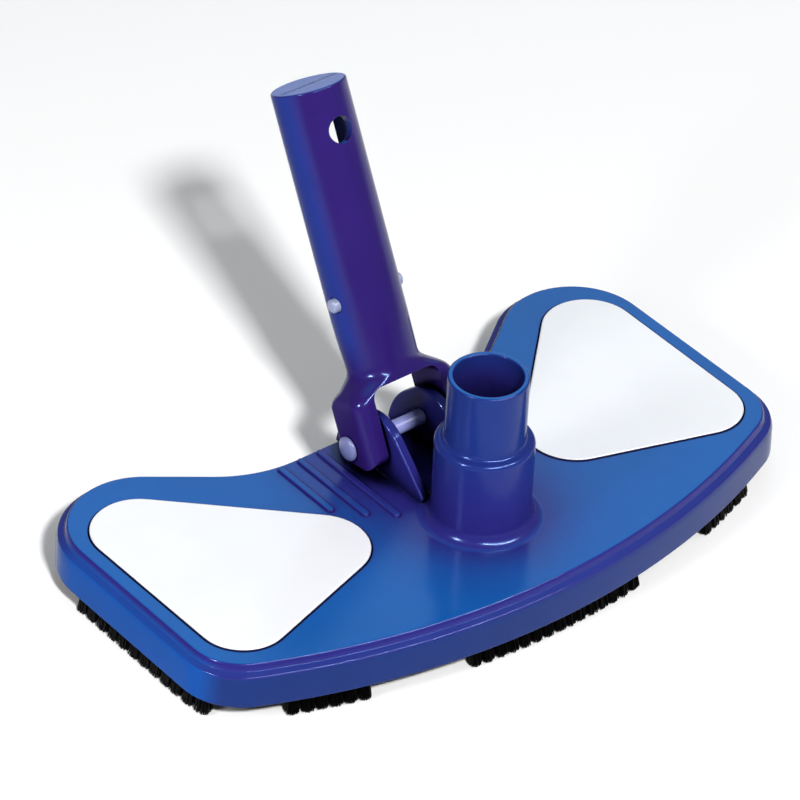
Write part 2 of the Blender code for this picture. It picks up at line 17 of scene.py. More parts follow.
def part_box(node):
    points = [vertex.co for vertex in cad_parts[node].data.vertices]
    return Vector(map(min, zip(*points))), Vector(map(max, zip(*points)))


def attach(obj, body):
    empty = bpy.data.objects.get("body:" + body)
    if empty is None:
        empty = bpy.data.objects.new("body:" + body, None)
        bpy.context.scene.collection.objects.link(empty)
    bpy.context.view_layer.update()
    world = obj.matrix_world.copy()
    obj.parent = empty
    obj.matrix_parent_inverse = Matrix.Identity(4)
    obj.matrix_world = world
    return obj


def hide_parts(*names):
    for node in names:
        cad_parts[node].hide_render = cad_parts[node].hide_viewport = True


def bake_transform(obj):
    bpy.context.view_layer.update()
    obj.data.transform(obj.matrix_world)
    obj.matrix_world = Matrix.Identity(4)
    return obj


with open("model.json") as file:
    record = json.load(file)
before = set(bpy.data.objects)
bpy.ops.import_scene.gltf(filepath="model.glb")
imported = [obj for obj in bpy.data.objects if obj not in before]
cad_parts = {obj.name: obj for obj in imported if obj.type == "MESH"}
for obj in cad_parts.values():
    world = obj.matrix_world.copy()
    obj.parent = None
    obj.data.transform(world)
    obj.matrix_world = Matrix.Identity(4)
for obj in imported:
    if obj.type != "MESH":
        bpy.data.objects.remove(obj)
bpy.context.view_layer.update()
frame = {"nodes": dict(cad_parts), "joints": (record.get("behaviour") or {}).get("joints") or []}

MM = 0.001

# Deck outline and heights.
HALF_WIDTH = 138.6
FRONT_APEX = -47.0
FRONT_RADIUS = 310.0
FRONT_CORNER_RADIUS = 22.0
WING_CORNER_RADIUS = 29.5
WING_CORNER_Y = 70.6
WAIST_Y = 68.0
WAIST_RADIUS = 55.0
WING_EDGE_NORMAL = 126.0
DECK_TOP = -0.8
DECK_UNDERSIDE = -4.3
SKIRT_BOTTOM = -18.3
SKIRT_REACH = 5.0
BRISTLE_TIPS = -26.2

# Covers and wells.
COVER_CORNERS = [(25.6, 10.6, 19.9), (132.2, -22.7, 18.2), (133.2, 114.4, 19.6)]
COVER_GAP = 0.35
COVER_BOTTOM = -2.6
LEDGE_Z = -2.95
WELL_INSET = 3.2
WELL_WALL = 2.0
WELL_FLOOR = -12.4
WELL_BOTTOM = -14.6

# Hose connector.
SLEEVE_RADIUS = 15.8
SLEEVE_BORE = 13.5
SOCKET_TOP = 65.7
SHOULDER_Z = 36.8
LOWER_RADIUS = 19.6
LOWER_BORE = 16.6
BASE_FILLET = 5.5
SHOULDER_ROUND = 2.1
SHOULDER_HOLLOW = 1.7
RIM_ROUND = 0.9

# Pivot, lugs and axle.
TILT = 27.0
LUG_INNER = 11.0
LUG_OUTER = 15.2
LUG_EDGE = 0.9
LUG_CORNERS = [(17.0, -3.0, 1.0), (71.8, -3.0, 1.0), (69.0, 10.0, 28.0), (46.5, 29.7, 16.4),
               (17.0, 1.6, 1.0)]
AXLE_RADIUS = 3.2
AXLE_HEAD_RADIUS = 5.0
AXLE_HEAD_HEIGHT = 1.9
LUG_HOLE_RADIUS = 3.32
ARM_HOLE_RADIUS = 3.3

# Handle.
TUBE_RADIUS = 15.1
TUBE_BORE = 11.8
TUBE_TOP = 140.9
TUBE_CAP = 3.5
TUBE_EDGE = 0.7
FORK_HALF_WIDTH = 24.6
FORK_FRONT = 13.4
FORK_BACK = 6.9
FORK_FRONT_CORNER = 6.0
FORK_BACK_CORNER = 2.6
SHOULDER_HIGH = 29.5
SHOULDER_LOW = 15.2
TAPER_HIGH = 52.0
ARM_INNER = 16.3
ARCH_TOP = 21.7
ARCH_CORNER = 4.5
ARM_SIDE_CORNERS = [(-13.5, -10.9, 5.5), (7.0, -4.2, 4.0), (7.0, 20.0, 1.0), (-13.5, 20.0, 1.0)]
HANG_HOLE_Z = 123.0
HANG_HOLE_RADIUS = 5.3
BACK_WINDOW = [(-20.0, 20.0, 1.0), (-10.4, 5.6, 0.6), (10.4, 5.6, 0.6), (20.0, 20.0, 1.0)]
BACK_WINDOW_LOW = 106.0
BACK_WINDOW_HIGH = 126.0
CAP_GROOVES = ((-0.7, 0.26), (0.75, 0.16))
CAP_GROOVE_REACH = 13.4
CAP_GROOVE_DEPTH = 0.5

# Snap buttons and spring clip.
BUTTON_Z = 55.8
BUTTON_FRONT = 1.5
BUTTON_RADIUS = 2.9
BUTTON_HOLE_RADIUS = 3.25
BUTTON_TIP = 17.6
BUTTON_START = 10.9
BUTTON_CROWN = 1.6
CLIP_OUTER = 10.6
CLIP_THICKNESS = 1.4
CLIP_WIDTH = 7.0
CLIP_LOW = 44.0
CLIP_HIGH = 84.0
CLIP_LEG_STEPS = 16
CLIP_BEND_STEPS = 10

# Ribs and brush strips.
DECK_RIBS = [(27.0, 18.0), (36.5, 25.5), (46.0, 35.5)]
DECK_RIB_BACK = 66.0
DECK_RIB_RADIUS = 1.7
DECK_RIB_HEIGHT = 1.1
STRIP_INNER = -2.8
STRIP_OUTER = 2.6
RAIL_INNER = -5.2
RAIL_OUTER = 3.15
RAIL_ROOT = 1.6
RAIL_TOP = -4.75
RAIL_BOTTOM = -14.4
RAIL_OVERHANG = 1.5
HOLDER_TOP = -9.6
HOLDER_BOTTOM = -14.2
SIDE_STRIP = (-10.5, 70.0)
FRONT_CENTRE_REACH = 42.0
FRONT_SIDE_REACH = (82.0, 115.0)
SIDE_BEND_STEPS = 4
FRONT_STEP = 8
PIECE_GAP = 0.3
STRIPS = ("side_left", "front_left", "front_centre", "front_right", "side_right")
TUFTS = {"side_left": 12, "front_left": 6, "front_centre": 15, "front_right": 6, "side_right": 12}

# Strands in a tuft. The shares are of the tufts' pitch, the depths across the strip.
STRAND_RADIUS = 0.36
STRAND_SIDES = 3
TUFT_ROWS = 6
TUFT_COLUMNS = 9
TUFT_CORNER = 1.15
ROOT_SHARE = 0.66
ROOT_DEPTH = 3.6
TIP_SHARE = 0.90
TIP_DEPTH = 4.4
TIP_OUT = 2.0
TIP_CROWN = 1.7
TIP_STRETCH = 3

# Finish of the meshes: steps round a corner, smoothing angle in degrees, welding distance.
CORNER_STEPS = 20
SMALL_CORNER_STEPS = 5
SMALL_RADIUS = 2
CONNECTOR_SEGMENTS = 128
SMOOTH_ANGLE = 32.0
WELD_DISTANCE = 0.0005
MIRROR = Matrix.Scale(-1, 4, (1, 0, 0))

# The design frame's place in the row frame, from the solids themselves.
SHELL_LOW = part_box("base_shell")[0]
ORIGIN = Vector((0.0, SHELL_LOW.y / MM - FRONT_APEX + SKIRT_REACH,
                 SHELL_LOW.z / MM - SKIRT_BOTTOM))
PIVOT = Vector(frame["joints"][0]["pos_m"]) / MM
BASE_FRAME = Matrix.Scale(MM, 4) @ Matrix.Translation(ORIGIN)
HANDLE_FRAME = (Matrix.Scale(MM, 4) @ Matrix.Translation(PIVOT)
                @ Matrix.Rotation(math.radians(-TILT), 4, "X"))
PIVOT_Y = PIVOT.y - ORIGIN.y
PIVOT_Z = PIVOT.z - ORIGIN.z

# Colours in linear RGB. The base's and the handle's blues are painted light and shade, lit and shaded
# copies of one blue plastic: painted lit colours for faces turned up or to the sides and for the tube's
# closed end, and violet painted shade for upright faces, the skirt and the connector.
BASE_PAINTED_LIT_TOP = (0.005, 0.086, 0.34)
BASE_PAINTED_SHADE_UPRIGHT = (0.020, 0.018, 0.165)
BASE_PAINTED_LIT_SIDES = (0.006, 0.070, 0.33)
BASE_PAINTED_SHADE_SKIRT = (0.006, 0.020, 0.13)
BASE_PAINTED_SHADE_CONNECTOR = (0.010, 0.024, 0.16)
HANDLE_PAINTED_LIT_TOP = (0.012, 0.06, 0.25)
HANDLE_PAINTED_SHADE_UPRIGHT = (0.022, 0.009, 0.115)
HANDLE_PAINTED_LIT_SIDES = (0.015, 0.030, 0.21)
HANDLE_PAINTED_LIT_CAP = (0.01, 0.11, 0.58)
BLUE_RUBBED = (0.08, 0.20, 0.50)
BLUE_SHINE = (0.35, 0.55, 1.0)
COVER_TOP = (0.82, 0.83, 0.86)
# Painted shade: the covers' steep sides are coloured dark.
COVER_SIDE_PAINTED_SHADE = (0.012, 0.014, 0.06)
# Painted shade and light on the axle: its ends are white plastic painted in a shaded lavender, and its
# middle is painted lighter.
AXLE_ENDS_PAINTED_SHADE = (0.162, 0.182, 0.385)
AXLE_MIDDLE_PAINTED_LIT = (0.27, 0.30, 0.64)
# Painted shade: the buttons' and the clip's white plastic is painted in a shaded lavender.
BUTTON_PAINTED_SHADE = (0.25, 0.285, 0.44)
NYLON_DARK = (0.0006, 0.0006, 0.0008)
NYLON_PALE = (0.002, 0.002, 0.0025)

# Where one painted lit or shaded colour gives way to the next, in metres: pairs of heights above the
# floor, and for the axle's painted lit middle a pair of distances from the centre plane.
BASE_PAINTED_LIT_SIDE_HEIGHTS = (0.0245, 0.0225)
HANDLE_PAINTED_LIT_SIDE_HEIGHTS = (0.060, 0.075)
PAINTED_SHADE_SKIRT_HEIGHTS = (0.0212, 0.0204)
PAINTED_SHADE_CONNECTOR_HEIGHTS = (0.036, 0.072)
FILLET_HEIGHTS = (0.028, 0.032)
RIM_HEIGHTS = (0.0905, 0.0885)
AXLE_MIDDLE_REACH = (0.018, 0.020)

# How far around a point the materials look for cover, in metres, to place their painted shade.
SKY_REACH = 0.075
CREVICE_REACH = 0.014

# Stage, in metres, with the target's place in the design frame in millimetres. The camera looks past
# its target from the photograph's angle; its angles are in degrees and its lens in millimetres.
FLOOR_REACH = 6.0
FLOOR_Z = -0.0003
LIT_POINT = Vector((0.0, 0.0, 0.05))
CAMERA_LENS = 234.6
CAMERA_AZIMUTH = -40.414
CAMERA_ELEVATION = 36.844
CAMERA_ROLL = 2.862
CAMERA_DISTANCE = 2.029
CAMERA_SLIDE = (-0.0183, 0.033158)
CAMERA_TARGET_Y = 20.489
CAMERA_TARGET = Vector((0.0, (ORIGIN.y + CAMERA_TARGET_Y) * MM, ORIGIN.z * MM))


# --- outlines: lists of arcs (centre x, centre y, radius, first angle, last angle, steps) --------

def outline_points(arcs, offset=0.0):
    """Return the outline's points, moved outwards by offset."""
    points = []
    for centre_x, centre_y, radius, first, last, steps in arcs:
        for step in range(steps + 1):
            angle = math.radians(first + (last - first) * step / steps)
            reach = radius + offset
            points.append((centre_x + reach * math.cos(angle), centre_y + reach * math.sin(angle)))
    return points


def deck_half():
    """Return the arcs of the deck's right half, anticlockwise from the front's middle."""
    front_centre = FRONT_APEX + FRONT_RADIUS
    corner_x = HALF_WIDTH - FRONT_CORNER_RADIUS
    corner_y = front_centre - math.sqrt((FRONT_RADIUS - FRONT_CORNER_RADIUS) ** 2 - corner_x ** 2)
    meet = math.degrees(math.atan2(corner_y - front_centre, corner_x))
    wing_x = HALF_WIDTH - WING_CORNER_RADIUS
    edge_angle = math.radians(WING_EDGE_NORMAL)
    normal = Vector((math.cos(edge_angle), math.sin(edge_angle)))
    leave = Vector((wing_x, WING_CORNER_Y)) + normal * WING_CORNER_RADIUS
    hollow_y = WAIST_Y + WAIST_RADIUS
    hollow_x = leave.x + (WAIST_RADIUS - (hollow_y - leave.y) * normal.y) / normal.x
    return [
        (0.0, front_centre, FRONT_RADIUS, -90.0, meet, 30),
        (corner_x, corner_y, FRONT_CORNER_RADIUS, meet, 0.0, 20),
        (wing_x, WING_CORNER_Y, WING_CORNER_RADIUS, 0.0, WING_EDGE_NORMAL, 34),
        (hollow_x, hollow_y, -WAIST_RADIUS, WING_EDGE_NORMAL, 90.0, 14),
    ]


def deck_arcs():
    """Return the whole deck outline, anticlockwise."""
    right = deck_half()
    left = [(-x, y, radius, 180.0 - last, 180.0 - first, steps)
            for x, y, radius, first, last, steps in reversed(right)]
    return right + left


def rounded_polygon(corners):
    """Return arcs that round an anticlockwise convex polygon's corners (x, y, radius)."""
    arcs = []
    count = len(corners)
    for index, (x, y, radius) in enumerate(corners):
        here = Vector((x, y))
        before = (here - Vector(corners[index - 1][:2])).normalized()
        after = (Vector(corners[(index + 1) % count][:2]) - here).normalized()
        turn = before.angle(after)
        middle = (after - before).normalized()
        centre = here + middle * radius / math.cos(turn / 2)
        first = math.degrees(math.atan2(-before.x, before.y))
        steps = CORNER_STEPS if radius > SMALL_RADIUS else SMALL_CORNER_STEPS
        arcs.append((centre.x, centre.y, radius, first, first + math.degrees(turn), steps))
    return arcs


def mirrored(corners):
    """Return the corners on the other side of the centre line, still anticlockwise."""
    return [(-x, y, radius) for x, y, radius in reversed(corners)]


def quarter(centre_a, centre_b, radius_a, radius_b, first, last, steps):
    """Return pairs on a part of an ellipse, between two angles in degrees."""
    pairs = []
    for step in range(steps + 1):
        angle = math.radians(first + (last - first) * step / steps)
        pairs.append((centre_a + radius_a * math.cos(angle), centre_b + radius_b * math.sin(angle)))
    return pairs


# --- solids --------------------------------------------------------------------------------------

def skin(mesh, rings):
    """Join rings of points side by side and close both ends."""
    made = [[mesh.verts.new(point) for point in ring] for ring in rings]
    for low, high in zip(made, made[1:]):
        for index in range(len(low)):
            other = (index + 1) % len(low)
            mesh.faces.new((low[index], low[other], high[other], high[index]))
    mesh.faces.new(reversed(made[0]))
    mesh.faces.new(made[-1])


def lay_flat(x, y, height):
    """Place an outline point of a piece that is built up along Z."""
    return Vector((x, y, height))


def stand_sideways(y, z, across):
    """Place an outline point of a piece that is built across X."""
    return Vector((across, y, z))


def stand_facing(x, z, depth):
    """Place an outline point of a piece that is built along Y."""
    return Vector((x, depth, z))


def stacked(arcs, profile, stand=lay_flat):
    """Return a mesh of one outline, lofted through (offset, height) pairs."""
    mesh = bmesh.new()
    rings = []
    for offset, height in profile:
        rings.append([stand(x, y, height) for x, y in outline_points(arcs, offset)])
    skin(mesh, rings)
    return mesh


def turned(profile, matrix=None, segments=96):
    """Return a mesh of (radius, height) pairs turned about Z, both ends closed by a flat disc."""
    mesh = bmesh.new()
    rings = []
    for radius, height in profile:
        angles = [2 * math.pi * step / segments for step in range(segments)]
        rings.append([Vector((radius * math.cos(a), radius * math.sin(a), height)) for a in angles])
    skin(mesh, rings)
    if matrix:
        mesh.transform(matrix)
    return mesh


def drill(radius, low, high, matrix=None, segments=64):
    """Return a plain round cutter between two heights along its own axis."""
    return turned([(radius, low), (radius, high)], matrix, segments)


def across_x(x0, centre_y=0.0, centre_z=0.0):
    """Return the matrix that turns +Z to +X and moves a turned piece's start to x0."""
    return Matrix.Translation((x0, centre_y, centre_z)) @ Matrix.Rotation(math.radians(90), 4, "Y")


def along_y(centre_z):
    """Return the matrix that turns +Z to -Y at a height."""
    return Matrix.Translation((0.0, 0.0, centre_z)) @ Matrix.Rotation(math.radians(90), 4, "X")


def block(low, high):
    """Return a box mesh between two corners."""
    mesh = bmesh.new()
    (x0, y0, z0), (x1, y1, z1) = low, high
    base = ((x0, y0), (x1, y0), (x1, y1), (x0, y1))
    skin(mesh, [[Vector((x, y, z)) for x, y in base] for z in (z0, z1)])
    return mesh


def as_object(name, mesh):
    """Turn a mesh being built into an object, still in millimetres."""
    bmesh.ops.remove_doubles(mesh, verts=mesh.verts, dist=WELD_DISTANCE)
    bmesh.ops.recalc_face_normals(mesh, faces=mesh.faces)
    data = bpy.data.meshes.new(name)
    mesh.to_mesh(data)
    mesh.free()
    item = bpy.data.objects.new(name, data)
    bpy.context.scene.collection.objects.link(item)
    return item


def combined(name, body, steps):
    """Return an object made of body with each (operation, mesh) of steps added or cut away."""
    item = as_object(name, body)
    tools = []
    for number, (operation, mesh) in enumerate(steps):
        tool = as_object(f"{name}_tool_{number}", mesh)
        modifier = item.modifiers.new("step", "BOOLEAN")
        modifier.operation = operation
        modifier.solver = "EXACT"
        modifier.object = tool
        tools.append(tool)
    graph = bpy.context.evaluated_depsgraph_get()
    made = bpy.data.meshes.new_from_object(item.evaluated_get(graph))
    item.modifiers.clear()
    item.data = made
    for tool in tools:
        bpy.data.objects.remove(tool, do_unlink=True)
    return item


def dress(item, matrix, material, sharp=SMOOTH_ANGLE):
    """Put a millimetre object in the row frame, with smooth shading and its material."""
    item.data.transform(matrix)
    item.data.shade_smooth()
    item.data.set_sharp_from_angle(angle=math.radians(sharp))
    item.data.materials.clear()
    item.data.materials.append(material)


def place(item, matrix, material, body, nodes, sharp=SMOOTH_ANGLE, weighted=True):
    """Dress a millimetre object and make it ride on its body."""
    dress(item, matrix, material, sharp)
    if weighted:
        modifier = item.modifiers.new("flat_faces", "WEIGHTED_NORMAL")
        modifier.mode = "FACE_AREA"
        modifier.weight = 70
        modifier.keep_sharp = True
    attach(item, body)
    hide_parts(*nodes)


# --- brush strips --------------------------------------------------------------------------------

def side_path(sign, extra):
    """Return the path of a side strip: round the front corner, then straight back."""
    corner_x, corner_y, radius = deck_half()[1][:3]
    low, high = SIDE_STRIP[0] - extra, SIDE_STRIP[1] + extra
    centre = Vector((sign * corner_x, corner_y))
    first = math.asin((low - corner_y) / radius)
    path = []
    for step in range(SIDE_BEND_STEPS + 1):
        turn = first * (1 - step / SIDE_BEND_STEPS)
        normal = Vector((sign * math.cos(turn), math.sin(turn)))
        path.append((centre + normal * radius, normal, (turn - first) * radius))
    end = Vector((sign * HALF_WIDTH, high))
    path.append((end, Vector((sign, 0.0)), path[-1][2] + high - corner_y))
    return path


def front_path(reach, extra):
    """Return the path of a strip along the front's arc, between two values of x."""
    spare = extra / FRONT_RADIUS
    first = math.asin(reach[0] / FRONT_RADIUS) - spare
    last = math.asin(reach[1] / FRONT_RADIUS) + spare
    steps = max(3, round((last - first) * FRONT_RADIUS / FRONT_STEP))
    centre = Vector((0.0, FRONT_APEX + FRONT_RADIUS))
    path = []
    for step in range(steps + 1):
        turn = first + (last - first) * step / steps
        normal = Vector((math.sin(turn), -math.cos(turn)))
        path.append((centre + normal * FRONT_RADIUS, normal, (turn - first) * FRONT_RADIUS))
    return path


def strip_path(name, extra=0.0):
    """Return (point, outward normal, distance) along a strip, extra longer at both ends."""
    if name.startswith("side"):
        return side_path(-1 if name.endswith("left") else 1, extra)
    low, high = FRONT_SIDE_REACH
    reach = {"front_left": (-high, -low), "front_right": (low, high),
             "front_centre": (-FRONT_CENTRE_REACH, FRONT_CENTRE_REACH)}[name]
    return front_path(reach, extra)


def point_on(path, distance):
    """Return the point and normal at a distance along a strip's path."""
    for (start, normal_a, at_a), (end, normal_b, at_b) in zip(path, path[1:]):
        if distance <= at_b + 1e-6:
            part = (distance - at_a) / (at_b - at_a)
            return start.lerp(end, part), normal_a.lerp(normal_b, part).normalized()
    return path[-1][0], path[-1][1]


def bar(name, extra, inner, outer, low, high):
    """Return a bar of one section along the strip called name."""
    mesh = bmesh.new()
    rings = []
    for point, normal, _ in strip_path(name, extra):
        a = point + normal * inner
        b = point + normal * outer
        rings.append([Vector((*a, low)), Vector((*b, low)), Vector((*b, high)), Vector((*a, high))])
    skin(mesh, rings)
    return mesh


def filament(mesh, root, tip, lean):
    """Add one bristle: a slightly bent, tapered strand with a cut end."""
    rings = []
    for part, share in ((0.0, 1.0), (0.5, 1.0), (0.9, 0.95), (1.0, 0.7)):
        middle = root.lerp(tip, part) + lean * (part * part)
        turn = 2 * math.pi / STRAND_SIDES
        ring = [Vector((math.cos(i * turn), math.sin(i * turn), 0.0)) for i in range(STRAND_SIDES)]
        rings.append([middle + corner * STRAND_RADIUS * share for corner in ring])
    skin(mesh, rings)


def add_tuft(mesh, seed, path, middle, pitch):
    """Add a bundle of strands, centred at a distance along the path, that fans out downwards."""
    length = path[-1][2]
    sway = seed.uniform(-0.25, 0.25)
    for row in range(TUFT_ROWS):
        for column in range(TUFT_COLUMNS):
            along = (column + 0.5) / TUFT_COLUMNS - 0.5 + seed.uniform(-0.035, 0.035)
            across = (row + 0.5) / TUFT_ROWS - 0.5 + seed.uniform(-0.05, 0.05)
            if (2 * along) ** 4 + (2 * across) ** 4 > TUFT_CORNER:
                continue
            point, normal = point_on(path, middle + along * pitch * ROOT_SHARE)
            root = Vector((*(point + normal * (0.1 + across * ROOT_DEPTH)), HOLDER_BOTTOM - PIECE_GAP))
            spread = along * pitch * TIP_SHARE + sway + seed.uniform(-0.12, 0.12)
            point, normal = point_on(path, min(max(middle + spread, 0.2), length - 0.2))
            short = TIP_CROWN * (2 * along) ** 2 + 0.5 * (2 * across) ** 2 + seed.uniform(0.0, 0.45)
            out = TIP_OUT + across * TIP_DEPTH + seed.uniform(-0.1, 0.1)
            tip = Vector((*(point + normal * out), BRISTLE_TIPS + short * 0.6))
            lean = Vector((*(normal * seed.uniform(-0.15, 0.25)), 0.0))
            filament(mesh, root, tip, lean)


def make_bristles(name, material):
    """Make a strip's tufts and stretch their ends down to the exact height of the tips."""
    seed = random.Random(7 + STRIPS.index(name))
    path = strip_path(name, -PIECE_GAP)
    pitch = path[-1][2] / TUFTS[name]
    mesh = bmesh.new()
    for tuft in range(TUFTS[name]):
        add_tuft(mesh, seed, path, (tuft + 0.5) * pitch, pitch)
    low = min(vertex.co.z for vertex in mesh.verts)
    for vertex in mesh.verts:
        if vertex.co.z < BRISTLE_TIPS + TIP_STRETCH:
            share = (BRISTLE_TIPS + TIP_STRETCH - vertex.co.z) / TIP_STRETCH
            vertex.co.z -= (low - BRISTLE_TIPS) * share
    item = as_object(name + "_bristle_tufts", mesh)
    place(item, BASE_FRAME, material, "base", ["bristles_" + name],
          sharp=60.0, weighted=False)


# --- base ----------------------------------------------------------------------------------------

def skirt_profile():
    """Return (offset, height) pairs from the deck's edge, over both rounded bands, to the skirt."""
    outer = [(-0.8, DECK_TOP)]
    outer += quarter(-0.25, -1.75, 0.95, 0.95, 90.0, 20.0, 6)[1:]
    outer += [(1.05, -2.3), (1.4, -3.3), (1.5, -3.62), (1.8, -3.75)]
    outer += quarter(3.38, -5.34, 0.7, 0.7, 63.0, 16.0, 6)
    outer += [(4.67, -7.2), (SKIRT_REACH, -17.6)] + quarter(4.6, -17.9, 0.4, 0.4, 0.0, -90.0, 4)
    inner = [(3.6, SKIRT_BOTTOM), (3.25, -17.9), (3.0, -7.4), (1.9, -5.0), (1.0, DECK_UNDERSIDE)]
    return outer + inner


def connector_outside():
    """Return the hose connector's outer solid: fillet, lower sleeve, shoulder, sleeve and rim."""
    foot = LOWER_RADIUS + BASE_FILLET
    profile = [(foot + 0.4, DECK_UNDERSIDE + 1.0), (foot + 0.4, DECK_TOP - 0.02)]
    profile += quarter(foot, DECK_TOP + BASE_FILLET, BASE_FILLET, BASE_FILLET, 270.0, 180.0, 12)
    profile += quarter(LOWER_RADIUS - SHOULDER_ROUND, SHOULDER_Z - 2.6, SHOULDER_ROUND, SHOULDER_ROUND,
                       0.0, 78.0, 8)
    profile += quarter(SLEEVE_RADIUS + SHOULDER_HOLLOW, SHOULDER_Z + 1.3, SHOULDER_HOLLOW,
                       SHOULDER_HOLLOW, 262.0, 180.0, 6)
    profile += [(SLEEVE_RADIUS, SHOULDER_Z + 2.4), (SLEEVE_RADIUS, SOCKET_TOP - 1.0)]
    profile += quarter(SLEEVE_RADIUS - RIM_ROUND, SOCKET_TOP - RIM_ROUND, RIM_ROUND, RIM_ROUND,
                       10.0, 90.0, 6)
    return turned(profile, segments=CONNECTOR_SEGMENTS)


def connector_bore():
    """Return the cutter for the connector's bore, from below the deck to above the rim."""
    profile = [(LOWER_BORE + 4.0, DECK_UNDERSIDE - 1.0), (LOWER_BORE + 4.0, DECK_UNDERSIDE),
               (LOWER_BORE, 2.0), (LOWER_BORE, SHOULDER_Z - 9.0), (SLEEVE_BORE, SHOULDER_Z - 3.0),
               (SLEEVE_BORE, SOCKET_TOP - 0.9)]
    profile += quarter(SLEEVE_BORE + 0.7, SOCKET_TOP - 0.7, 0.7, 0.71, 165.0, 95.0, 5)
    profile += [(SLEEVE_BORE + 0.7, SOCKET_TOP + 2.0)]
    return turned(profile, segments=CONNECTOR_SEGMENTS)


def edge_rounded(inner, outer, edge, steps=4):
    """Return (offset, across) pairs of a plate with both of its edges rounded."""
    sign = 1 if outer > inner else -1
    low = []
    for step in range(steps + 1):
        angle = math.radians(90.0 * step / steps)
        low.append((-edge + edge * math.sin(angle), inner + sign * (edge - edge * math.cos(angle))))
    high = [(offset, outer - (across - inner)) for offset, across in reversed(low)]
    return low + high


def rib(x, front):
    """Return one raised deck rib with rounded ends and a rounded top."""
    top = DECK_TOP + DECK_RIB_HEIGHT
    ends = [(x, front, DECK_RIB_RADIUS, 180.0, 360.0, 14),
            (x, DECK_RIB_BACK, DECK_RIB_RADIUS, 0.0, 180.0, 14)]
    profile = [(0.12, DECK_TOP - 1.0), (0.1, DECK_TOP)]
    profile += quarter(-0.8, top - 0.8, 0.8, 0.8, 0.0, 90.0, 5)
    return stacked(ends, profile)


def well_steps(corners):
    """Return the steps that add a well under the deck, then cut its hollow and the cover's ledge."""
    arcs = rounded_polygon(corners)
    wall = WELL_WALL - WELL_INSET
    boss = [(wall - 0.6, WELL_BOTTOM), (wall, WELL_BOTTOM + 0.6), (wall, DECK_UNDERSIDE + 1.0)]
    hollow = [(-WELL_INSET, WELL_FLOOR), (-WELL_INSET, LEDGE_Z), (COVER_GAP, LEDGE_Z),
              (COVER_GAP, DECK_TOP - 0.3), (COVER_GAP + 0.3, DECK_TOP), (COVER_GAP + 0.3, 1.0)]
    return [("UNION", stacked(arcs, boss)), ("DIFFERENCE", stacked(arcs, hollow))]


def rail_steps(name):
    """Return the steps that add one strip's rail and its root, then cut the holder's channel."""
    rail = bar(name, RAIL_OVERHANG, RAIL_INNER, RAIL_OUTER, RAIL_BOTTOM, RAIL_TOP)
    root = bar(name, RAIL_OVERHANG, RAIL_INNER, RAIL_ROOT, RAIL_TOP - 0.5, DECK_UNDERSIDE + 0.15)
    channel = bar(name, PIECE_GAP, STRIP_INNER - PIECE_GAP, STRIP_OUTER + PIECE_GAP,
                  RAIL_BOTTOM - 1.0, HOLDER_TOP + PIECE_GAP)
    return [("UNION", rail), ("UNION", root), ("DIFFERENCE", channel)]


def make_base(blue):
    """Make the one-piece base moulding: deck, skirt, wells, connector, lugs, ribs and rails."""
    steps = well_steps(mirrored(COVER_CORNERS)) + well_steps(COVER_CORNERS)
    steps.append(("UNION", connector_outside()))
    for sign in (-1, 1):
        profile = edge_rounded(sign * LUG_INNER, sign * LUG_OUTER, LUG_EDGE)
        steps.append(("UNION", stacked(rounded_polygon(LUG_CORNERS), profile, stand_sideways)))
        for x, front in DECK_RIBS:
            steps.append(("UNION", rib(sign * x, front)))
    steps.append(("DIFFERENCE", connector_bore()))
    axle_hole = drill(LUG_HOLE_RADIUS, -20.0, 20.0, across_x(0.0, PIVOT_Y, PIVOT_Z))
    steps.append(("DIFFERENCE", axle_hole))
    for name in STRIPS:
        steps += rail_steps(name)
    item = combined("base_moulding", stacked(deck_arcs(), skirt_profile()), steps)
    place(item, BASE_FRAME, blue, "base", ["base_shell"])


def make_covers(white):
    """Make the two glossy covers, each a shallow lid with a rounded edge."""
    for side, corners in (("left", mirrored(COVER_CORNERS)), ("right", COVER_CORNERS)):
        arcs = rounded_polygon(corners)
        flange = PIECE_GAP + WELL_INSET
        profile = [(-flange, COVER_BOTTOM - 1.6), (-flange, COVER_BOTTOM), (-0.3, COVER_BOTTOM),
                   (0.0, COVER_BOTTOM + 0.3)] + quarter(-0.75, -0.75, 0.75, 0.75, 0.0, 90.0, 8)
        item = as_object("cover_" + side, stacked(arcs, profile))
        place(item, BASE_FRAME, white, "base", ["weight_cover_" + side])


# --- handle --------------------------------------------------------------------------------------

def ease(part):
    """Return a smooth step from 0 to 1."""
    part = min(max(part, 0.0), 1.0)
    return part ** 3 * (part * (6 * part - 15) + 10)


def handle_section(height):
    """Return the ring of the handle's outside at a height above the pivot."""
    spread = ease((SHOULDER_HIGH - height) / (SHOULDER_HIGH - SHOULDER_LOW))
    taper = ease((TAPER_HIGH - height) / (TAPER_HIGH - SHOULDER_LOW))
    half_x = TUBE_RADIUS + (FORK_HALF_WIDTH - TUBE_RADIUS) * spread
    arcs = []
    for number, side_x in enumerate((1, -1, -1, 1)):
        at_back = number < 2
        depth = FORK_BACK if at_back else FORK_FRONT
        corner = FORK_BACK_CORNER if at_back else FORK_FRONT_CORNER
        reach = TUBE_RADIUS + (depth - TUBE_RADIUS) * taper
        radius = min(TUBE_RADIUS + (corner - TUBE_RADIUS) * spread, reach, half_x)
        centre_x = side_x * (half_x - radius)
        centre_y = (reach - radius) if at_back else (radius - reach)
        arcs.append((centre_x, centre_y, radius, 90.0 * number, 90.0 * number + 90.0, 24))
    return [Vector((x, y, height)) for x, y in outline_points(arcs)]


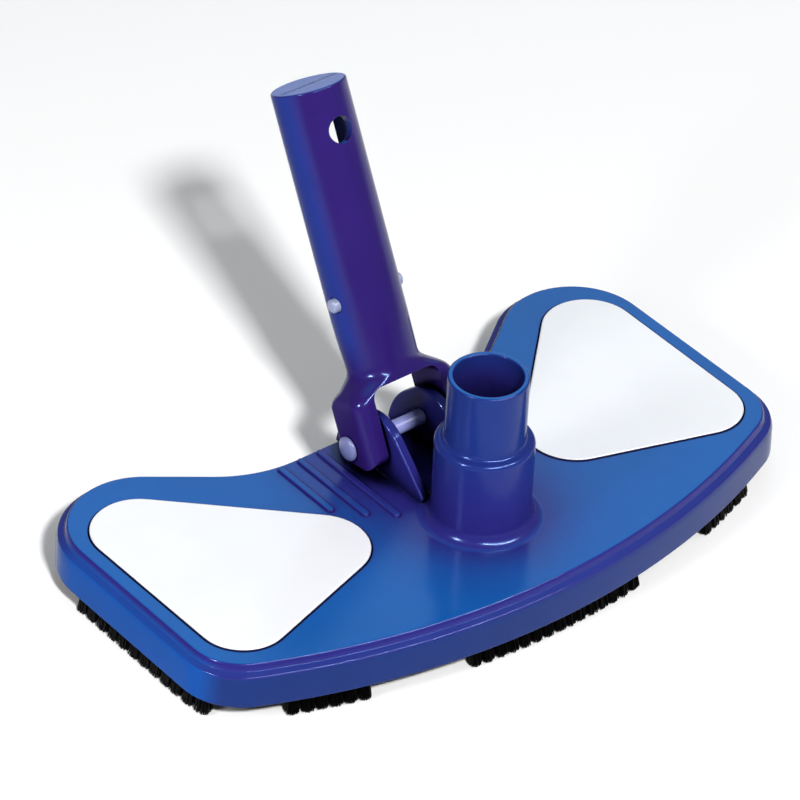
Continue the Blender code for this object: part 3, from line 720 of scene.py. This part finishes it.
def handle_outside():
    """Return the handle's outer solid, from below the arms to the closed top of the tube."""
    heights = [-14.0, SHOULDER_LOW - 2.0]
    heights += [SHOULDER_LOW + (SHOULDER_HIGH - SHOULDER_LOW) * step / 24 for step in range(25)]
    heights += [SHOULDER_HIGH + (TAPER_HIGH - SHOULDER_HIGH) * step / 10 for step in range(1, 11)]
    mesh = bmesh.new()
    rings = [handle_section(height) for height in heights + [TUBE_TOP - TUBE_EDGE]]
    end = handle_section(TUBE_TOP)
    for inset, drop in quarter(TUBE_EDGE, TUBE_EDGE, TUBE_EDGE, TUBE_EDGE, 195.0, 270.0, 5):
        scale = (TUBE_RADIUS - inset) / TUBE_RADIUS
        rings.append([Vector((point.x * scale, point.y * scale, TUBE_TOP - drop)) for point in end])
    skin(mesh, rings)
    return mesh


def arms_trim():
    """Return the cutter that shapes the arms' ends: a block around them, less their outline."""
    kept = stacked(rounded_polygon(ARM_SIDE_CORNERS), [(0.0, -45.0), (0.0, 45.0)], stand_sideways)
    around = block((-40.0, -40.0, -60.0), (40.0, 40.0, 12.0))
    trim = combined("arm_trim", around, [("DIFFERENCE", kept)])
    mesh = bmesh.new()
    mesh.from_mesh(trim.data)
    bpy.data.objects.remove(trim, do_unlink=True)
    return mesh


def fork_opening():
    """Return the cutter for the open space between the arms, with its two rounded top corners."""
    arch = rounded_polygon([(-ARM_INNER, -30.0, 1.0), (ARM_INNER, -30.0, 1.0),
                            (ARM_INNER, ARCH_TOP, ARCH_CORNER), (-ARM_INNER, ARCH_TOP, ARCH_CORNER)])
    return stacked(arch, [(0.0, -30.0), (0.0, 30.0)], stand_facing)


def make_handle(blue):
    """Make the handle moulding: a closed tube that ends in a fork with two arms."""
    cuts = [arms_trim(), fork_opening(),
            drill(TUBE_BORE, ARCH_TOP - 8.0, TUBE_TOP - TUBE_CAP, segments=96),
            drill(HANG_HOLE_RADIUS, 0.0, 20.0, along_y(HANG_HOLE_Z)),
            stacked(rounded_polygon(BACK_WINDOW), [(0.0, BACK_WINDOW_LOW), (0.0, BACK_WINDOW_HIGH)]),
            drill(BUTTON_HOLE_RADIUS, -20.0, 20.0, across_x(0.0, -BUTTON_FRONT, BUTTON_Z),
                  segments=48),
            drill(ARM_HOLE_RADIUS, -40.0, 40.0, across_x(0.0))]
    for depth, half in CAP_GROOVES:
        cuts.append(block((-CAP_GROOVE_REACH, depth - half, TUBE_TOP - CAP_GROOVE_DEPTH),
                          (CAP_GROOVE_REACH, depth + half, TUBE_TOP + 2.0)))
    item = combined("handle_moulding", handle_outside(), [("DIFFERENCE", cut) for cut in cuts])
    place(item, HANDLE_FRAME, blue, "handle", ["handle"])


def dome(radius, height, steps=10):
    """Return (radius, height) pairs from a rim up to a low dome's small flat top."""
    pairs = []
    for step in range(steps + 1):
        angle = 0.5 * math.pi * step / (steps + 0.6)
        pairs.append((radius * math.cos(angle), height * math.sin(angle)))
    return pairs


def make_axle(white):
    """Make the headed axle pin and the cap that is pushed on its other end."""
    face = FORK_HALF_WIDTH + PIECE_GAP
    crown = dome(AXLE_HEAD_RADIUS, AXLE_HEAD_HEIGHT)
    pin = [(radius, -face - 0.6 - height) for radius, height in reversed(crown)]
    pin += [(AXLE_HEAD_RADIUS, -face - 0.15), (AXLE_HEAD_RADIUS - 0.15, -face), (AXLE_RADIUS, -face),
            (AXLE_RADIUS, face + 0.2), (AXLE_RADIUS - 0.6, face + 0.8)]
    item = as_object("axle_with_head", turned(pin, across_x(0.0)))
    place(item, HANDLE_FRAME, white, "handle", ["axle_pin"])
    cap = [(AXLE_HEAD_RADIUS - 0.15, face), (AXLE_HEAD_RADIUS, face + 0.15)]
    cap += [(radius, face + 0.6 + height) for radius, height in crown]
    socket = drill(AXLE_RADIUS + 0.1, face - 1.0, face + 1.1, across_x(0.0), segments=96)
    item = combined("axle_end_cap", turned(cap, across_x(0.0)), [("DIFFERENCE", socket)])
    place(item, HANDLE_FRAME, white, "handle", ["axle_cap"])


def make_buttons(white):
    """Make the two snap buttons with domed ends."""
    base = BUTTON_TIP - BUTTON_CROWN
    crown = [(radius, base + height) for radius, height in dome(BUTTON_RADIUS, BUTTON_CROWN)]
    for side in ("left", "right"):
        mesh = turned([(BUTTON_RADIUS, BUTTON_START)] + crown,
                      across_x(0.0, -BUTTON_FRONT, BUTTON_Z), segments=64)
        if side == "left":
            mesh.transform(MIRROR)
        item = as_object("snap_button_" + side, mesh)
        place(item, HANDLE_FRAME, white, "button_" + side, ["button_" + side])


def clip_half():
    """Return the right half of the spring clip: a flat leg that runs into a quarter of its bend."""
    middle = CLIP_OUTER - CLIP_THICKNESS / 2
    half = CLIP_THICKNESS / 2
    wide = Vector((0.0, CLIP_WIDTH / 2, 0.0))
    section = ((-1, -1), (-1, -0.86), (-1, 0.86), (-1, 1), (1, 1), (1, 0.86), (1, -0.86), (1, -1))
    route = []
    for step in range(CLIP_LEG_STEPS):
        route.append((middle, CLIP_LOW + (CLIP_HIGH - CLIP_LOW) * step / CLIP_LEG_STEPS, 0.0))
    for step in range(CLIP_BEND_STEPS + 1):
        angle = 0.5 * math.pi * step / CLIP_BEND_STEPS
        route.append((middle * math.cos(angle), CLIP_HIGH + middle * math.sin(angle), angle))
    mesh = bmesh.new()
    rings = []
    for x, z, angle in route:
        across = Vector((math.cos(angle), 0.0, math.sin(angle)))
        point = Vector((x, -BUTTON_FRONT, z))
        rings.append([point + across * side * half + wide * end for side, end in section])
    skin(mesh, rings)
    return mesh


def make_clip(white):
    """Make the spring clip in two halves."""
    for side in ("left", "right"):
        mesh = clip_half()
        if side == "left":
            mesh.transform(MIRROR)
        item = as_object("spring_clip_leg_" + side, mesh)
        dress(item, HANDLE_FRAME, white)
        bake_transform(item)
        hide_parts("clip_spring")


# --- materials -----------------------------------------------------------------------------------

class Nodes:
    """A small helper for building a material's nodes."""

    def __init__(self, name):
        self.material = bpy.data.materials.new(name)
        self.material.use_nodes = True
        self.tree = self.material.node_tree
        self.shader = self.tree.nodes["Principled BSDF"]

    def add(self, kind, **settings):
        """Add a node, with its properties by name."""
        node = self.tree.nodes.new(kind)
        for key, value in settings.items():
            setattr(node, key, value)
        return node

    def link(self, start, end):
        """Join an output socket to an input socket."""
        self.tree.links.new(start, end)

    def noise(self, scale, detail=3.0, roughness=0.5):
        """Return the factor output of a noise in object space, its scale in cells per metre."""
        place_node = self.add("ShaderNodeTexCoord")
        node = self.add("ShaderNodeTexNoise")
        node.inputs["Scale"].default_value = scale
        node.inputs["Detail"].default_value = detail
        node.inputs["Roughness"].default_value = roughness
        self.link(place_node.outputs["Object"], node.inputs["Vector"])
        return node.outputs["Fac"]

    def math(self, operation, a, b, clamp=False):
        """Return the output of a maths node on two sockets or numbers."""
        node = self.add("ShaderNodeMath", operation=operation, use_clamp=clamp)
        for index, value in enumerate((a, b)):
            if isinstance(value, (int, float)):
                node.inputs[index].default_value = value
            else:
                self.link(value, node.inputs[index])
        return node.outputs[0]

    def times(self, first, *others):
        """Return the product of sockets and numbers."""
        for other in others:
            first = self.math("MULTIPLY", first, other)
        return first

    def span(self, value, low, high, to_low=0.0, to_high=1.0, smooth=False):
        """Return value mapped from one range to another, held at both ends."""
        node = self.add("ShaderNodeMapRange")
        if smooth:
            node.interpolation_type = "SMOOTHSTEP"
        self.link(value, node.inputs["Value"])
        node.inputs["From Min"].default_value = low
        node.inputs["From Max"].default_value = high
        node.inputs["To Min"].default_value = to_low
        node.inputs["To Max"].default_value = to_high
        return node.outputs["Result"]

    def mix(self, factor, a, b):
        """Return a mix of two colours, each a socket or an RGB triple."""
        node = self.add("ShaderNodeMix", data_type="RGBA")
        self.link(factor, node.inputs[0])
        for index, value in ((6, a), (7, b)):
            if isinstance(value, tuple):
                node.inputs[index].default_value = (*value, 1.0)
            else:
                self.link(value, node.inputs[index])
        return node.outputs[2]

    def bump(self, layers, normal=None):
        """Chain bumps of (height socket, distance in metres, strength) and return the normal."""
        for height, distance, strength in layers:
            node = self.add("ShaderNodeBump")
            node.inputs["Distance"].default_value = distance
            node.inputs["Strength"].default_value = strength
            self.link(height, node.inputs["Height"])
            if normal is not None:
                self.link(normal, node.inputs["Normal"])
            normal = node.outputs["Normal"]
        return normal

    def rounded(self, radius):
        """Return a normal that rounds edges by radius in metres, and a mask of those edges."""
        node = self.add("ShaderNodeBevel", samples=6)
        node.inputs["Radius"].default_value = radius
        plain = self.add("ShaderNodeNewGeometry")
        dot = self.add("ShaderNodeVectorMath", operation="DOT_PRODUCT")
        self.link(node.outputs["Normal"], dot.inputs[0])
        self.link(plain.outputs["Normal"], dot.inputs[1])
        mask = self.span(dot.outputs["Value"], 0.98, 0.80)
        return node.outputs["Normal"], mask

    def openness(self, reach):
        """Return how much of the space around the surface is clear within reach metres, 0 to 1."""
        node = self.add("ShaderNodeAmbientOcclusion", samples=12)
        node.inputs["Distance"].default_value = reach
        return node.outputs["AO"]

    def in_object(self, label):
        """Return x, y and z of a point's place (Object) or direction (Normal) in the piece's frame."""
        place_node = self.add("ShaderNodeTexCoord")
        split = self.add("ShaderNodeSeparateXYZ")
        self.link(place_node.outputs[label], split.inputs[0])
        return tuple(split.outputs)


def moulded_blue(name, top, upright, sides, side_heights, skirt=None, raised=None, cap=None):
    """Return glossy moulded plastic with painted light and shade: a lit blue where it is open to the
    sky, a shaded deep violet where it is not.

    Faces turned up take the painted lit top, faces turned left or right take the painted lit sides as
    side_heights says, and the rest take the painted shade upright. skirt replaces upright with a darker
    painted shade below the rim, raised replaces it with a painted shade up the connector, and cap is a
    painted lit colour for the closed end of the tilted tube.
    """
    made = Nodes(name)
    x, y, z = made.in_object("Normal")
    height = made.in_object("Object")[2]
    open_sky = made.openness(SKY_REACH)
    # Painted light: faces turned up and open to the sky take the lit top colour.
    painted_lit_top = made.times(made.span(z, 0.86, 0.99, smooth=True),
                           made.span(open_sky, 0.72, 0.93, smooth=True))
    lean = made.math("SUBTRACT", made.math("ABSOLUTE", x, 0.0), made.math("ABSOLUTE", y, 0.0))
    sideways = made.span(lean, 0.10, 0.80, smooth=True)
    # Painted shade: below the rim, upright faces take the darker skirt colour.
    if skirt:
        upright = made.mix(made.span(height, *PAINTED_SHADE_SKIRT_HEIGHTS), upright, skirt)
    if raised:
        # Painted shade: up the connector, where it is open, upright faces take the connector's shaded
        # colour.
        painted_connector_shade = made.times(made.span(height, *PAINTED_SHADE_CONNECTOR_HEIGHTS, smooth=True),
                           made.span(open_sky, 0.25, 0.45))
        upright = made.mix(painted_connector_shade, upright, raised)
        # Upward faces from the deck's fillet to the rim, such as the shoulder, keep the violet painted
        # shade.
        between = made.times(made.span(height, *FILLET_HEIGHTS), made.span(height, *RIM_HEIGHTS))
        painted_lit_top = made.times(painted_lit_top, made.span(between, 0.0, 1.0, 1.0, 0.0))
    # Painted light: faces turned left or right, within side_heights, take the lit side colour.
    painted_lit_sides = made.times(sideways, made.span(height, *side_heights))
    colour = made.mix(painted_lit_top, made.mix(painted_lit_sides, upright, sides), top)
    # Painted light: the tube's closed end takes the lighter cap colour.
    if cap:
        tilt = math.radians(TILT)
        along = made.math("ADD", made.times(y, math.sin(tilt)), made.times(z, math.cos(tilt)))
        colour = made.mix(made.span(along, 0.93, 0.99, smooth=True), colour, cap)

    # Painted shade: crevices and the depths of the bores are darkened, nearly to black, and lose their
    # shine.
    deep = made.times(made.span(made.openness(CREVICE_REACH), 0.36, 0.76, 0.02, 1.0, smooth=True),
                      made.span(open_sky, 0.04, 0.36, 0.10, 1.0, smooth=True))
    cloud = made.span(made.noise(28.0, 4.0), 0.35, 0.65, 0.95, 1.05)
    speck = made.span(made.noise(900.0, 2.0), 0.3, 0.7, 0.98, 1.02)
    scaled = made.add("ShaderNodeVectorMath", operation="SCALE")
    made.link(colour, scaled.inputs[0])
    made.link(made.times(cloud, speck, deep), scaled.inputs["Scale"])

    # Edges are slightly rubbed, which makes them paler and rougher.
    normal, edges = made.rounded(0.0004)
    rub = made.times(edges, made.span(made.noise(160.0, 5.0, 0.65), 0.45, 0.7, 0.05, 0.30))
    made.link(made.mix(rub, scaled.outputs[0], BLUE_RUBBED), made.shader.inputs["Base Color"])
    patchy = made.span(made.noise(60.0, 5.0, 0.6), 0.3, 0.7, 0.15, 0.22)
    rough = made.math("ADD", patchy, made.times(rub, 0.3))
    made.link(rough, made.shader.inputs["Roughness"])

    # Faces turned aside or down, and faces seen at a grazing angle, shine less.
    facing = made.add("ShaderNodeLayerWeight").outputs["Facing"]
    shine = made.times(deep, made.span(sideways, 0.0, 1.0, 1.0, 0.15),
                       made.span(z, 0.0, 0.7, 0.30, 0.5), made.span(facing, 0.60, 0.92, 1.0, 0.25))
    made.link(shine, made.shader.inputs["Specular IOR Level"])
    made.shader.inputs["Specular Tint"].default_value = (*BLUE_SHINE, 1.0)
    layers = [(made.noise(300.0, 1.0), 0.0002, 0.03), (made.noise(2600.0, 2.0), 0.00003, 0.10)]
    made.link(made.bump(layers, normal), made.shader.inputs["Normal"])
    return made.material


def moulded_white(name, colour, roughness, edge_radius, side=None, middle=None):
    """Return smooth pale moulded plastic, marbled and scuffed, perhaps with painted shade on its sides
    or painted light on its middle.
    """
    made = Nodes(name)
    cloud = made.span(made.noise(35.0, 4.0), 0.35, 0.65)
    base = made.mix(cloud, tuple(0.975 * c for c in colour), colour)
    normal, edges = made.rounded(edge_radius)
    scuff = made.span(made.noise(420.0, 6.0, 0.7), 0.64, 0.74, 0.0, 0.06)
    grime = made.times(edges, made.span(made.noise(220.0, 5.0), 0.5, 0.75, 0.0, 0.3))
    base = made.mix(made.math("ADD", scuff, grime, True), base, tuple(0.72 * c for c in colour))
    # Painted light: a band about the centre plane, the axle's middle, takes a lighter colour.
    if middle:
        across = made.math("ABSOLUTE", made.in_object("Object")[0], 0.0)
        base = made.mix(made.span(across, *AXLE_MIDDLE_REACH, 1.0, 0.0), base, middle)
    # Painted shade: steep faces, such as the covers' sides, take a dark colour.
    if side:
        painted_shade_slope = made.span(made.in_object("Normal")[2], 0.72, 0.40, smooth=True)
        base = made.mix(painted_shade_slope, base, side)
    made.link(base, made.shader.inputs["Base Color"])
    rough = made.span(made.noise(90.0, 5.0, 0.6), 0.3, 0.7, roughness - 0.04, roughness + 0.05)
    made.link(made.math("ADD", rough, scuff), made.shader.inputs["Roughness"])
    normal = made.bump([(made.noise(300.0, 2.0), 0.00012, 0.04)], normal)
    made.link(normal, made.shader.inputs["Normal"])
    return made.material


def black_nylon(name):
    """Return dull black nylon with streaks along the strands."""
    made = Nodes(name)
    place_node = made.add("ShaderNodeTexCoord")
    stretch = made.add("ShaderNodeMapping")
    stretch.inputs["Scale"].default_value = (1.0, 1.0, 0.08)
    made.link(place_node.outputs["Object"], stretch.inputs["Vector"])
    streak = made.add("ShaderNodeTexNoise")
    streak.inputs["Scale"].default_value = 1500.0
    made.link(stretch.outputs["Vector"], streak.inputs["Vector"])
    made.link(made.mix(streak.outputs["Fac"], NYLON_DARK, NYLON_PALE),
              made.shader.inputs["Base Color"])
    made.link(made.span(made.noise(700.0), 0.3, 0.7, 0.42, 0.62), made.shader.inputs["Roughness"])
    made.link(made.bump([(streak.outputs["Fac"], 0.00005, 0.4)]), made.shader.inputs["Normal"])
    made.shader.inputs["Specular IOR Level"].default_value = 0.06
    return made.material


def cast_metal(name):
    """Return rough grey casting, for the hidden weights."""
    made = Nodes(name)
    made.link(made.mix(made.noise(120.0, 6.0), (0.06, 0.06, 0.065), (0.15, 0.14, 0.13)),
              made.shader.inputs["Base Color"])
    made.shader.inputs["Metallic"].default_value = 0.85
    made.link(made.span(made.noise(500.0, 5.0), 0.3, 0.7, 0.55, 0.8), made.shader.inputs["Roughness"])
    made.link(made.bump([(made.noise(900.0, 6.0, 0.7), 0.0003, 0.5)]), made.shader.inputs["Normal"])
    return made.material


# --- stage ---------------------------------------------------------------------------------------

def aimed(item, place_at, target):
    """Move a lamp to a place and aim it at a target."""
    item.location = place_at
    item.rotation_euler = (target - place_at).to_track_quat("-Z", "Y").to_euler()


def lamp(name, direction, distance, size, power, colour=(1.0, 1.0, 1.0), gloss=True, diffuse=True):
    """Add a soft lamp in a direction from the lit point, aimed at it.

    Its size in metres is one number or (width, height), and its power is in watts. With gloss off
    it makes no highlights, and with diffuse off it makes nothing but highlights.
    """
    data = bpy.data.lights.new(name, "AREA")
    data.shape = "RECTANGLE"
    data.size, data.size_y = size if isinstance(size, tuple) else (size, size)
    data.energy = power
    data.color = colour
    item = bpy.data.objects.new(name, data)
    bpy.context.scene.collection.objects.link(item)
    aimed(item, LIT_POINT + Vector(direction) * distance, LIT_POINT)
    item.visible_glossy = gloss
    item.visible_diffuse = diffuse


def make_floor():
    """Make the pale floor."""
    mesh = bmesh.new()
    corners = ((-1, -1), (1, -1), (1, 1), (-1, 1))
    mesh.faces.new([mesh.verts.new((x * FLOOR_REACH, y * FLOOR_REACH, FLOOR_Z)) for x, y in corners])
    data = bpy.data.meshes.new("floor")
    mesh.to_mesh(data)
    mesh.free()
    floor = bpy.data.objects.new("floor", data)
    bpy.context.scene.collection.objects.link(floor)
    made = Nodes("pale_floor")
    pale = made.mix(made.noise(3.0), (0.93, 0.93, 0.93), (0.95, 0.95, 0.95))
    made.link(pale, made.shader.inputs["Base Color"])
    made.shader.inputs["Roughness"].default_value = 0.9
    made.shader.inputs["Specular IOR Level"].default_value = 0.1
    data.materials.append(made.material)


def make_lights():
    """Make the lamps and the even light around them."""
    lamp("key", (-0.275, -0.654, 0.705), 3.0, 0.28, 98.0, gloss=False)
    lamp("back_box", (0.519, 0.609, 0.600), 1.6, 0.95, 3.0, (0.60, 0.86, 1.0))
    lamp("right_box", (0.77, -0.45, 0.45), 1.5, 1.0, 4.0, gloss=False)
    lamp("left_box", (-0.87, -0.05, 0.50), 1.4, 0.30, 5.5, gloss=False)
    lamp("left_glint", (-0.76, -0.02, 0.65), 1.4, 0.12, 16.0, diffuse=False)
    lamp("front_glint", (0.08, -0.60, 0.79), 1.5, (1.4, 0.03), 42.0, diffuse=False)
    world = bpy.data.worlds.new("studio")
    bpy.context.scene.world = world
    world.use_nodes = True
    background = world.node_tree.nodes["Background"]
    background.inputs["Color"].default_value = (1.0, 0.94, 0.90, 1.0)
    background.inputs["Strength"].default_value = 0.17


def make_camera():
    """Make the camera, turned about its target and then slid sideways and up."""
    data = bpy.data.cameras.new("camera")
    data.sensor_width = 36.0
    data.lens = CAMERA_LENS
    data.clip_start = 0.05
    data.clip_end = 30.0
    camera = bpy.data.objects.new("camera", data)
    azimuth = math.radians(CAMERA_AZIMUTH)
    elevation = math.radians(CAMERA_ELEVATION)
    roll = math.radians(CAMERA_ROLL)
    back = Vector((math.sin(azimuth) * math.cos(elevation), -math.cos(azimuth) * math.cos(elevation),
                   math.sin(elevation)))
    right = Vector((math.cos(azimuth), math.sin(azimuth), 0.0))
    up = back.cross(right)
    across = right * math.cos(roll) + up * math.sin(roll)
    over = up * math.cos(roll) - right * math.sin(roll)
    turn = Matrix((across, over, back)).transposed()
    matrix = turn.to_4x4()
    matrix.translation = CAMERA_TARGET + turn @ Vector((*CAMERA_SLIDE, CAMERA_DISTANCE))
    camera.matrix_world = matrix
    bpy.context.scene.collection.objects.link(camera)
    bpy.context.scene.camera = camera
    bpy.context.scene.view_settings.view_transform = "Standard"


def main():
    """Build the looks."""
    # The blues carry painted light and shade, chosen by which way a face turns and how open it is.
    base_blue = moulded_blue("base_blue", BASE_PAINTED_LIT_TOP, BASE_PAINTED_SHADE_UPRIGHT, BASE_PAINTED_LIT_SIDES, BASE_PAINTED_LIT_SIDE_HEIGHTS,
                             skirt=BASE_PAINTED_SHADE_SKIRT, raised=BASE_PAINTED_SHADE_CONNECTOR)
    handle_blue = moulded_blue("handle_blue", HANDLE_PAINTED_LIT_TOP, HANDLE_PAINTED_SHADE_UPRIGHT, HANDLE_PAINTED_LIT_SIDES,
                               HANDLE_PAINTED_LIT_SIDE_HEIGHTS, cap=HANDLE_PAINTED_LIT_CAP)
    # The covers' sides, the axle and the buttons carry painted shade, and the axle's middle carries
    # painted light.
    cover_white = moulded_white("cover_white", COVER_TOP, roughness=0.16, edge_radius=0.0003,
                                side=COVER_SIDE_PAINTED_SHADE)
    axle_white = moulded_white("axle_white", AXLE_ENDS_PAINTED_SHADE, roughness=0.3, edge_radius=0.0002,
                               middle=AXLE_MIDDLE_PAINTED_LIT)
    button_white = moulded_white("button_white", BUTTON_PAINTED_SHADE, roughness=0.3, edge_radius=0.0002)
    nylon = black_nylon("black_nylon")
    iron = cast_metal("cast_iron")
    make_base(base_blue)
    make_covers(cover_white)
    make_handle(handle_blue)
    make_axle(axle_white)
    make_buttons(button_white)
    make_clip(button_white)
    for name in STRIPS:
        make_bristles(name, nylon)
        frame["nodes"]["brush_holder_" + name].data.materials[0] = nylon
    for side in ("left", "right"):
        frame["nodes"]["weight_" + side].data.materials[0] = iron
    make_floor()
    make_lights()
    make_camera()


main()
